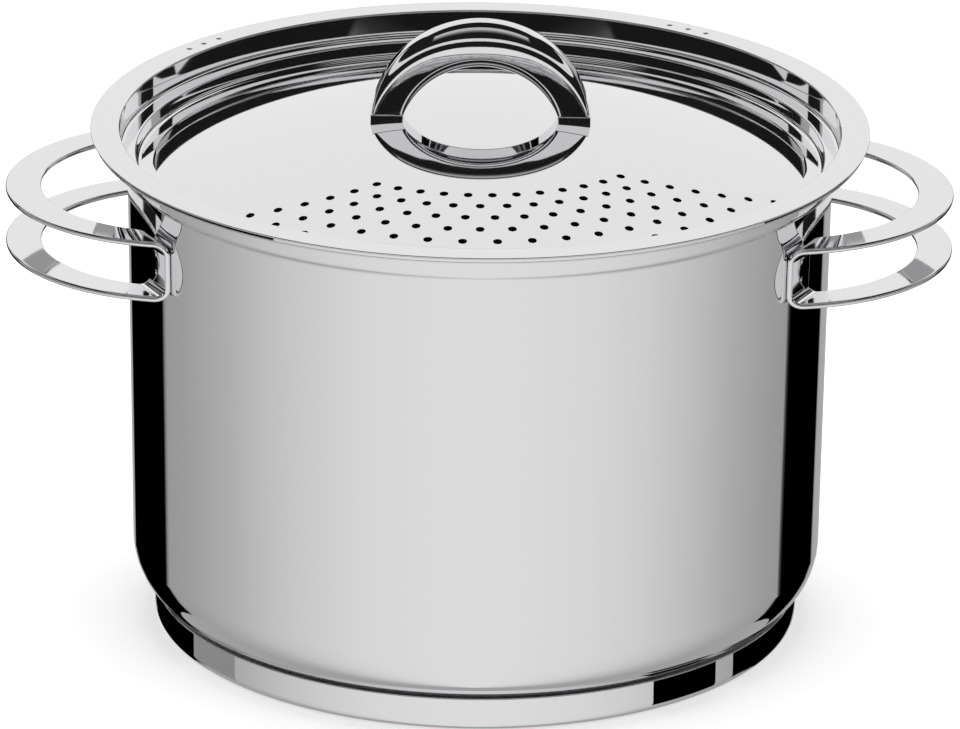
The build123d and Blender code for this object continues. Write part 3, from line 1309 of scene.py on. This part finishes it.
@dataclass
class Arch:
    """Arch handle whose feet stand on the dome, each on a square block."""

    lid: Lid
    outer_radius: float = 0.0376
    bore_radius: float = 0.0284
    bore_sink: float = 0.0062
    centre_height: float = 0.1789
    crown_depth: float = 0.0160
    foot_depth: float = 0.0120
    crown: tuple[Sweep, ...] = (
        Sweep(math.radians(66), 0.0073, 12),
        Sweep(math.radians(80), 0.0120, 4),
        Sweep(math.radians(92), 0.0210, 4),
        Sweep(math.radians(180), 0.0040, 14),
    )
    foot_rounding: float = 0.0008
    # Where the points of the foot's flat front stand, as shares of its width
    foot_flat: tuple[float, ...] = (0.03, 0.5, 0.97)
    blend: float = 0.6
    block_width: float = 0.0112
    block_depth: float = 0.0130
    block_height: float = 0.0031
    block_edge: float = 0.0002
    block_steps: int = 3
    block_sharpest: float = 0.2  # least corner of a block's top, as a share of its edge
    sunk: float = 0.0003
    steps: int = 96
    first_guess: float = 0.1  # angle that the search for the dome starts from
    rounds: int = 12  # rounds of that search

    def half_depth(self, angle: float) -> float:
        """Half of the arch's depth, front to back, at an angle along it."""
        return (self.foot_depth + (self.crown_depth - self.foot_depth) * math.sin(angle) ** 2) / 2

    def roundness(self, angle: float) -> float:
        """How far the section has turned from the square foot into the round crown, from 0 to 1."""
        start = (self.block_top() - self.centre_height) / self.outer_radius
        return max((math.sin(angle) - start) / (1 - start), 0.0) ** self.blend

    def block_reach(self) -> float:
        """Distance of a block's middle from the pot's axis."""
        return self.outer_radius - self.block_width / 2

    def block_top(self) -> float:
        """Height of a block's upper face."""
        return self.lid.dome_height(self.block_reach()) + self.block_height

    def bore_reach(self, angle: float) -> float:
        """Distance from the arch's centre to its bore, whose own centre is lower."""
        sink = self.bore_sink
        return -sink * math.sin(angle) + math.sqrt(self.bore_radius**2 - (sink * math.cos(angle)) ** 2)

    def crown_front(self, width: float, half_depth: float) -> list[Point]:
        """Front of the round section.

        Args:
            width: Distance from the bore to the outer edge.
            half_depth: Half of the depth, front to back.

        Returns:
            Distance under the outer edge and depth of each point.
        """
        line = [(0.0, 0.0)]
        normal = 0.0
        for sweep in self.crown:
            first, start = line[-1], normal
            for k in range(1, sweep.steps + 1):
                normal = start + (sweep.until - start) * k / sweep.steps
                drop = sweep.radius * (math.cos(start) - math.cos(normal))
                reach = sweep.radius * (math.sin(normal) - math.sin(start))
                line.append((first[0] + drop, first[1] + reach))
        tall, deep = line[-1][0], max(reach for _, reach in line)
        flat = self.crown_depth / 2 - deep
        return [(drop / tall * width, (reach + flat) / (deep + flat) * half_depth) for drop, reach in line]

    def foot_front(self, width: float, half_depth: float) -> list[Point]:
        """Front of the square section, with as many points as the round one has.

        Args:
            width: Distance from the bore to the outer edge.
            half_depth: Half of the depth, front to back.

        Returns:
            Distance under the outer edge and depth of each point.
        """
        corner = self.foot_rounding
        outer = [
            (corner * (1 - math.cos(turn)), half_depth - corner * (1 - math.sin(turn)))
            for turn in quarter_turn(self.crown[0].steps + self.crown[1].steps)
        ]
        # These stand for the points of the round section's third arc
        flat = [(corner + (width - 2 * corner) * share, half_depth) for share in self.foot_flat]
        inner = [
            (width - corner * (1 - math.sin(turn)), half_depth - corner * (1 - math.cos(turn)))
            for turn in quarter_turn(self.crown[3].steps)
        ]
        return outer + flat + inner

    def section(self, angle: float) -> list[Point]:
        """Blends the square section into the round one.

        Args:
            angle: Angle along the arch, from the right foot over the crown.

        Returns:
            Share of the arch's thickness and depth of each point.
        """
        width = self.outer_radius - self.bore_reach(angle)
        half_depth = self.half_depth(angle)
        weight = self.roundness(angle)
        front = []
        for foot, crown in zip(self.foot_front(width, half_depth), self.crown_front(width, half_depth)):
            drop, depth = (f + (c - f) * weight for f, c in zip(foot, crown))
            front.append((1 - drop / width, -depth))
        front.append((0.0, front[-1][1] + SUPPORT))
        return front + [(share, -depth) for share, depth in front[::-1]]

    def point(self, share: float, depth: float, angle: float) -> Vector:
        """A point of the arch.

        Args:
            share: Place across the arch, from 0 at the bore to 1 at the outer edge.
            depth: Distance behind the arch's middle plane.
            angle: Angle along the arch, from the right foot over the crown.

        Returns:
            The point in the lid's frame.
        """
        bore = self.bore_reach(angle)
        radius = bore + (self.outer_radius - bore) * share
        return Vector((radius * math.cos(angle), depth, self.centre_height + radius * math.sin(angle)))

    def ground(self, x: float, y: float) -> float:
        """Height just under the dome's face, where the handle ends."""
        return self.lid.dome_height(math.hypot(x, y)) - self.sunk

    def foot_angle(self, share: float, depth: float) -> float:
        """Finds where a line along the arch reaches the dome.

        Args:
            share: Place across the arch, from 0 at the bore to 1 at the outer edge.
            depth: Distance behind the arch's middle plane.

        Returns:
            The angle along the arch there.
        """
        angle = self.first_guess
        for _ in range(self.rounds):
            p = self.point(share, depth, angle)
            angle += (self.ground(p.x, p.y) - p.z) / p.x
        return angle

    def build(self) -> None:
        """Makes the arch and the blocks under its feet."""
        rows = []
        middle = self.foot_angle(0.5, 0.0)
        for k in range(self.steps + 1):
            along = k / self.steps
            row = []
            for share, depth in self.section(middle + (math.pi - 2 * middle) * along):
                start = self.foot_angle(share, depth)
                row.append(self.point(share, depth, start + (math.pi - 2 * start) * along))
            rows.append(row)
        arch = loft("lid_arch", rows, closed=False)
        dress(arch, DIE_POLISHED, Body.LID, "lid_steel", Node.LID_HANDLE)
        placing = Placing(self.block_reach(), 0.0, 0.0, math.pi / 2, 1)
        feet = placing.repeat("lid_arch_feet", self.block(), DIE_POLISHED.material())
        dress(feet, DIE_POLISHED, Body.LID, "lid_steel")

    def block(self) -> bpy.types.Object:
        """Makes one of the blocks under the feet.

        Returns:
            The block at its height, its outer side towards the front.
        """
        top, edge, steps = self.block_top(), self.block_edge, self.block_steps
        sides, sharpest = (self.block_depth / 2, self.block_width / 2), self.block_sharpest
        low = rounded_box(*sides, edge, steps)
        rows = [
            [Vector((x, y, self.ground(x, self.block_reach() - y))) for x, y in low],
            [Vector((x, y, top - edge - SUPPORT)) for x, y in low],
        ]
        for turn in quarter_turn(steps):
            shrink = edge * (1 - math.cos(turn))
            corner = edge * (sharpest + (1 - sharpest) * math.cos(turn))
            ring = rounded_box(sides[0] - shrink, sides[1] - shrink, corner, steps)
            rows.append([Vector((x, y, top - edge + edge * math.sin(turn))) for x, y in ring])
        return loft("block", rows, closed=False)


@dataclass(frozen=True)
class Glow:
    """Card that gives off an even light.

    Args:
        name: Name of the material.
        strength: Brightness, where 1 is white.
    """

    name: str
    strength: float

    def material(self) -> bpy.types.Material:
        """Makes the material.

        Returns:
            The new material, which mirrors nothing.
        """
        made, t, _ = new_material(self.name)
        made.node_tree.nodes.clear()
        t.end("ShaderNodeOutputMaterial", t.add("ShaderNodeEmission", WHITE, self.strength))
        return made


@dataclass(frozen=True)
class Surround:
    """World of the studio: white to the eye, and what the polished steel mirrors.

    Directions are in degrees. Azimuths run from the front towards +X. Angles over the top run from
    the horizon at the back, over the zenith, to the horizon at the front.

    Args:
        table: Brightness just under the horizon against azimuth, for the two sides of the front.
        ground: Least brightness of the ground close by.
        ground_start: Angle under the horizon at which the ground starts.
        overhead: Brightness against the angle over the top.
        half_width: Half of the width of what is overhead.
        fade: How fast it fades at its sides, for each radian.
        fade_bend: How softly the fading starts.
        dark: Least brightness over the horizon.
        strip: Brightness of the low strip of light round the front.
        strip_middle: Its height over the horizon.
        strip_half: Half of its own height.
        strip_reach: Azimuth that it reaches to.
        flank: Brightness of the rear corners over the horizon.
        flank_start: Azimuth that they start at on the horizon.
        flank_slant: How much further round they start for each degree of height.
        even: Brightness that lights everything that isn't mirrored.
    """

    table: tuple[Point, ...] = (
        *((-180.0, 0.42), (-166.0, 0.42), (-164.5, 0.0), (-127.2, 0.0), (-126.2, 0.375), (-113.0, 0.41)),
        *((-90.0, 0.52), (-71.0, 0.66), (-53.0, 0.76), (-36.0, 0.84), (-12.0, 0.88), (12.0, 0.88)),
        *((39.0, 0.83), (56.0, 0.76), (73.0, 0.65), (93.0, 0.50), (113.0, 0.40), (122.4, 0.375)),
        *((124.0, 0.0), (155.0, 0.0), (156.5, 0.42), (180.0, 0.42)),
    )
    ground: float = 0.42
    ground_start: float = 36.0
    overhead: tuple[Point, ...] = (
        *((0.0, 0.94), (54.0, 0.94), (55.0, 0.01), (91.0, 0.01), (93.0, 0.57), (104.0, 0.55)),
        *((111.0, 0.26), (117.0, 0.13), (121.0, 0.04), (126.0, 0.01), (180.0, 0.01)),
    )
    half_width: float = 34.0
    fade: float = 40.0
    fade_bend: float = 0.1
    dark: float = 0.012
    strip: float = 0.80
    strip_middle: float = 22.4
    strip_half: float = 5.0
    strip_reach: float = 132.0
    flank: float = 0.45
    flank_start: float = 110.0
    flank_slant: float = 1.7
    even: float = 0.85

    def world(self) -> bpy.types.World:
        """Makes the world.

        Returns:
            The new world.
        """
        world = bpy.data.worlds.new("surround")
        world.use_nodes = True
        world.node_tree.nodes.clear()
        t = Tree(world.node_tree)
        way = t.split(t.add("ShaderNodeTexCoord", out="Generated"))
        azimuth = t.maths("ARCTAN2", way[0], -way[1])
        height = t.maths("ARCSINE", way[2])
        above = way[2] > 0.0
        mirrored = self.sky(t, way, azimuth, height) * above + self.land(t, azimuth, height) * (1.0 - above)
        seen, glossy = t.outputs("ShaderNodeLightPath", "Is Camera Ray", "Is Glossy Ray")
        plain = (1.0 - glossy) * (seen * (1.0 - self.even) + self.even)
        light = t.add("ShaderNodeBackground", WHITE, plain + glossy * mirrored)
        t.end("ShaderNodeOutputWorld", light)
        return world

    def land(self, t: Tree, azimuth: Out, height: Out) -> Out:
        """Brightness under the horizon.

        Args:
            t: Tree to write in.
            azimuth: Azimuth of the direction in radians.
            height: Its height in radians.

        Returns:
            The brightness there.
        """
        table = ramp(t, azimuth * (0.5 / math.pi) + 0.5, self.table, (-180.0, 180.0))
        near = height < -math.radians(self.ground_start)
        return t.maths("MAXIMUM", table, near * self.ground)

    def sky(self, t: Tree, way: Sequence[Out], azimuth: Out, height: Out) -> Out:
        """Brightness over the horizon.

        Args:
            t: Tree to write in.
            way: The three parts of the direction.
            azimuth: Its azimuth in radians.
            height: Its height in radians.

        Returns:
            The brightness there.
        """
        over = ramp(t, t.maths("ARCTAN2", way[2], way[1]) / math.pi, self.overhead, (0.0, 180.0))
        inwards = math.radians(self.half_width) - t.maths("ABSOLUTE", t.maths("ARCSINE", way[0]))
        faded = t.maths("MAXIMUM", inwards * self.fade, 0.0)
        wall = t.maths("SMOOTH_MIN", 1.0, faded, self.fade_bend)
        round_axis = t.maths("ABSOLUTE", azimuth)
        level = t.maths("COMPARE", height, math.radians(self.strip_middle), math.radians(self.strip_half))
        strip = level * (round_axis < math.radians(self.strip_reach)) * self.strip
        flank = (round_axis > height * self.flank_slant + math.radians(self.flank_start)) * self.flank
        most = t.maths("MAXIMUM", over * wall, self.dark)
        return t.maths("MAXIMUM", most, t.maths("MAXIMUM", strip, flank))


def ramp(t: Tree, factor: Out, stops: Sequence[Point], ends: Point) -> Out:
    """Adds a curve of brightness through stops.

    Args:
        t: Tree to write in.
        factor: Number from 0 to 1 that the curve reads.
        stops: Angle and brightness of each stop.
        ends: Angles at factor 0 and 1.

    Returns:
        The brightness.
    """
    curve = t.add("ShaderNodeValToRGB", factor, out="Color")
    bar = curve.socket.node.color_ramp.elements
    while len(bar) > 1:
        bar.remove(bar[-1])
    low, high = ends
    for i, (angle, value) in enumerate(stops):
        place = (angle - low) / (high - low)
        element = bar.new(place) if i else bar[0]
        element.position = place
        element.color = (value, value, value, 1.0)
    return curve


@dataclass
class Studio:
    """Floor, cards, lamp, world and camera."""

    elevation: float = math.radians(20.781538)
    distance: float = 3.0
    target_height: float = 0.090
    lens: float = 324.792
    film: float = 36.0
    roll: float = math.radians(0.640454)
    shift_x: float = 0.0024
    shift_y: float = 0.0013
    floor_size: float = 6.0
    floor_drop: float = 0.0002
    floor_glow: float = 0.35
    # Name, azimuths of both sides in degrees, and brightness of each card
    cards: tuple[tuple[str, float, float, float], ...] = (
        ("left", -105.0, -61.2, 0.0),
        ("near_left", -61.2, -48.0, 0.3),
        ("right", 33.6, 48.5, 0.0),
        ("far_right", 53.5, 105.0, 0.0),
    )
    card_reach: float = 0.1135
    card_low: float = 0.0006
    card_high: float = 0.0114
    card_steps: int = 24
    lamp_size: Point = (1.6, 1.2)
    lamp_power: float = 12.0
    lamp_place: tuple[float, float, float] = (0.0, 0.1, 1.8)

    def build(self) -> None:
        """Makes the whole studio."""
        self.build_camera()
        self.build_floor()
        bpy.context.scene.world = Surround().world()
        for name, start, end, strength in self.cards:
            self.build_card(f"card_{name}", start, end, strength)
        self.build_lamp()

    def build_camera(self) -> None:
        """Makes the camera at the photograph's angle."""
        data = bpy.data.cameras.new("camera")
        camera = link("camera", data)
        back = Vector((0, -math.cos(self.elevation), math.sin(self.elevation)))
        camera.location = Vector((0, 0, self.target_height)) + back * self.distance
        turn = (-back).to_track_quat("-Z", "Y").to_matrix().to_4x4()
        camera.rotation_mode = "QUATERNION"
        camera.rotation_quaternion = (turn @ Matrix.Rotation(self.roll, 4, "Z")).to_quaternion()
        data.lens = self.lens
        data.sensor_width = self.film
        data.shift_x, data.shift_y = self.shift_x, self.shift_y
        data.clip_start, data.clip_end = 0.1, 50.0
        bpy.context.scene.camera = camera

    def build_floor(self) -> None:
        """Makes the white floor, which keeps the pot's shadow."""
        half = self.floor_size / 2
        corners = (-half, -half), (half, -half), (half, half), (-half, half)
        points = [Vector((*corner, -self.floor_drop)) for corner in corners]
        floor = make_object("floor", points, [[0, 1, 2, 3]], solid=False)
        made, t, shader = new_material("floor_white")
        rays = t.outputs("ShaderNodeLightPath", "Is Camera Ray", "Is Glossy Ray", "Is Transmission Ray")
        seen = t.maths("MAXIMUM", rays[0], t.maths("MAXIMUM", rays[1], rays[2]))
        surface = {
            "Base Color": (0.9, 0.9, 0.9, 1.0),
            "Roughness": 0.9,
            "Emission Color": WHITE,
            "Emission Strength": seen * self.floor_glow,
        }
        t.feed_all(shader, surface)
        floor.data.materials.append(made)
        floor.visible_glossy = False

    def build_card(self, name: str, start: float, end: float, strength: float) -> None:
        """Stands a card round the base, which only polished steel mirrors.

        Args:
            name: Name of the card.
            start: Azimuth of its first side in degrees, from the front towards +X.
            end: Azimuth of its other side.
            strength: Its brightness.
        """
        steps = self.card_steps
        azimuths = spaced(math.radians(start), math.radians(end), steps)
        points = [around(self.card_reach, a, z) for z in (self.card_low, self.card_high) for a in azimuths]
        faces = [[k, k + 1, steps + 2 + k, steps + 1 + k] for k in range(steps)]
        card = make_object(name, points, faces, solid=False)
        card.data.materials.append(Glow(name, strength).material())
        card.visible_camera = False
        card.visible_diffuse = False
        card.visible_shadow = False

    def build_lamp(self) -> None:
        """Makes a soft overhead lamp."""
        data = bpy.data.lights.new("overhead", "AREA")
        data.shape = "RECTANGLE"
        data.size, data.size_y = self.lamp_size
        data.energy = self.lamp_power
        lamp = link("overhead", data)
        lamp.location = self.lamp_place
        lamp.visible_glossy = False


def main() -> None:
    """Builds the studio and every piece of the pot, in order."""
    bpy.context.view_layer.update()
    bpy.context.scene.view_settings.view_transform = "Standard"
    Studio().build()
    pot = Pot()
    pot.build()
    for side in Side:
        SideHandle(side, pot).build()
    for side in Side:
        Welds(side).build()
    Insert().build()
    Lid().build()
    bpy.context.view_layer.update()


if __name__ == "__main__":
    main()
